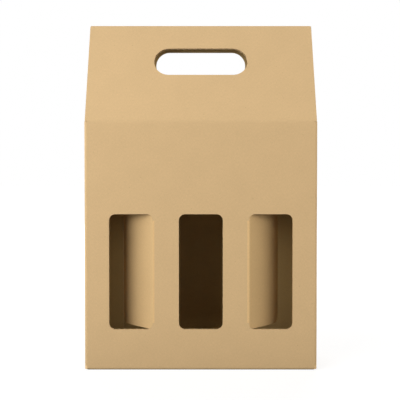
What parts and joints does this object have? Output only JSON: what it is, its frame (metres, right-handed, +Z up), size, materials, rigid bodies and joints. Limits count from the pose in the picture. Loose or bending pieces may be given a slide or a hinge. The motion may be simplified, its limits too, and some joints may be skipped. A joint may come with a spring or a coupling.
{
  "type": "bottle shipping box",
  "caption": "Corrugated board box for upright bottles: a windowed body with divider flaps, and two gable panels with hand holes that close into a carrying ridge.",
  "frame": {"origin": "middle of the underside, on the surface that the box stands on", "axes": "+X along the width, +Y from the windowed front to the plain back, +Z up"},
  "size_m": [0.2542, 0.085, 0.3836],
  "materials": {
    "kraft_board": "matte kraft liner"
  },
  "bodies": {
    "body": {"box_body": "kraft_board"},
    "front_gable": {"front_gable_panel": "kraft_board"},
    "back_gable": {"back_gable_panel": "kraft_board"},
    "left_divider": {"left_divider_flap": "kraft_board"},
    "right_divider": {"right_divider_flap": "kraft_board"}
  },
  "joints": [
    {"name": "front_gable_crease", "type": "hinge", "parent": "body", "child": "front_gable", "pos_m": [0, -0.0425, 0.272], "axis": [1, 0, 0], "range_deg": [0, 170]},
    {"name": "back_gable_crease", "type": "hinge", "parent": "body", "child": "back_gable", "pos_m": [0, 0.0425, 0.272], "axis": [-1, 0, 0], "range_deg": [0, 170]},
    {"name": "left_divider_crease", "type": "hinge", "parent": "body", "child": "left_divider", "pos_m": [-0.05226, -0.0395, 0.1077], "axis": [0, 0, -1], "range_deg": [-40, 50]},
    {"name": "right_divider_crease", "type": "hinge", "parent": "body", "child": "right_divider", "pos_m": [0.05226, -0.0395, 0.1077], "axis": [0, 0, 1], "range_deg": [-40, 50]}
  ]
}
